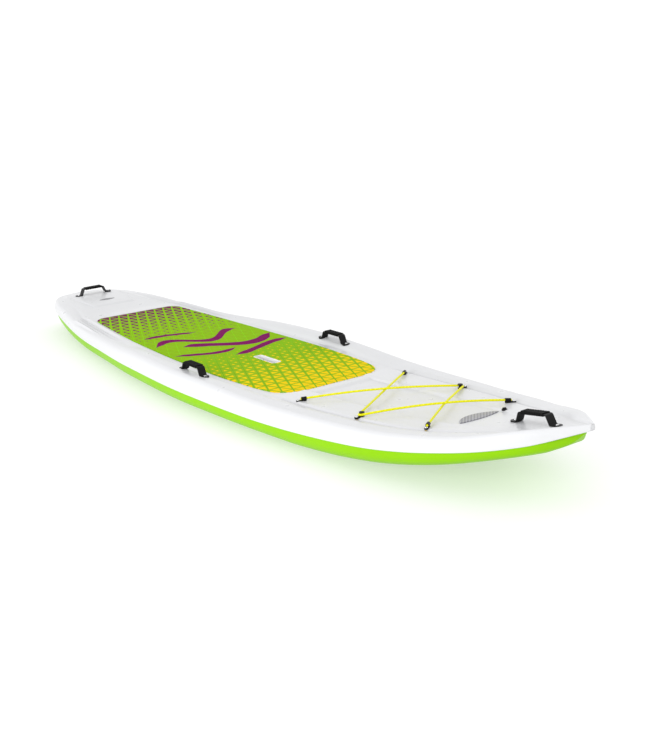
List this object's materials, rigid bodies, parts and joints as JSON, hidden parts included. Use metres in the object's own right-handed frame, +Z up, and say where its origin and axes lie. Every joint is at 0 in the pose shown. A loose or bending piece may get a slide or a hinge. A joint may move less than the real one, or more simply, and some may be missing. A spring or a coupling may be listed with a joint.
{
  "type": "stand up paddleboard",
  "caption": "Rigid touring paddleboard with two-tone moulded shells, patterned deck pad, arched carry handles, crossed bungee cords and a folding skeg.",
  "frame": {"origin": "middle of the board's length and beam, at the height of the hull's flat bottom", "axes": "+X towards the bow, +Y to port, +Z up out of the deck"},
  "size_m": [3.2, 0.788, 0.247],
  "materials": {
    "deck_white": "gloss, moulded",
    "hull_green": "gloss, moulded",
    "foam": "expanded bead foam",
    "ply": "bare plywood",
    "pad_foam": "matt, brushed closed-cell foam",
    "cup_white": "satin, moulded",
    "steel": "satin",
    "brass": "turned",
    "cord": "woven sheath",
    "badge_grey": "satin",
    "badge_black": "satin",
    "black_plastic": "fine texture",
    "seal": "smooth",
    "skeg_plastic": "satin",
    "strap_black": "satin, moulded",
    "grip_black": "ribbed, matt"
  },
  "bodies": {
    "board": {"deck_shell": "deck_white", "hull_shell": "hull_green", "foam_core": "foam", "stringer": "ply", "deck_pad": "pad_foam", "carry_cup": "cup_white", "handle_screws": "steel", "bungee_screws": "steel", "handle_inserts": "brass", "bungee_inserts": "brass", "bungee_cord_port": "cord", "bungee_cord_starboard": "cord", "bow_badge": "badge_grey", "stern_badge": "badge_black", "vent_bush": "black_plastic", "skeg_case": "black_plastic", "skeg_pin": "steel", "handle_strap_stern": "strap_black", "handle_grip_stern": "grip_black", "handle_strap_bow": "strap_black", "handle_grip_bow": "grip_black", "handle_strap_port": "strap_black", "handle_grip_port": "grip_black", "handle_strap_starboard": "strap_black", "handle_grip_starboard": "grip_black", "bungee_clip_rear_port": "black_plastic", "bungee_clip_front_port": "black_plastic", "bungee_hook_port": "black_plastic", "bungee_clip_rear_starboard": "black_plastic", "bungee_clip_front_starboard": "black_plastic", "bungee_hook_starboard": "black_plastic"},
    "skeg": {"skeg_blade": "skeg_plastic"},
    "vent": {"vent_plug": "black_plastic", "vent_seal": "seal"}
  },
  "joints": [
    {"name": "skeg_fold", "type": "hinge", "parent": "board", "child": "skeg", "pos_m": [-1.06, 0, 0.034], "axis": [0, -1, 0], "range_deg": [0, 75]},
    {"name": "vent_turn", "type": "hinge", "parent": "board", "child": "vent", "pos_m": [1.194, 0.095, 0.16791], "axis": [-0.1417, 0, 0.9899], "range_deg": [0, 90]}
  ]
}
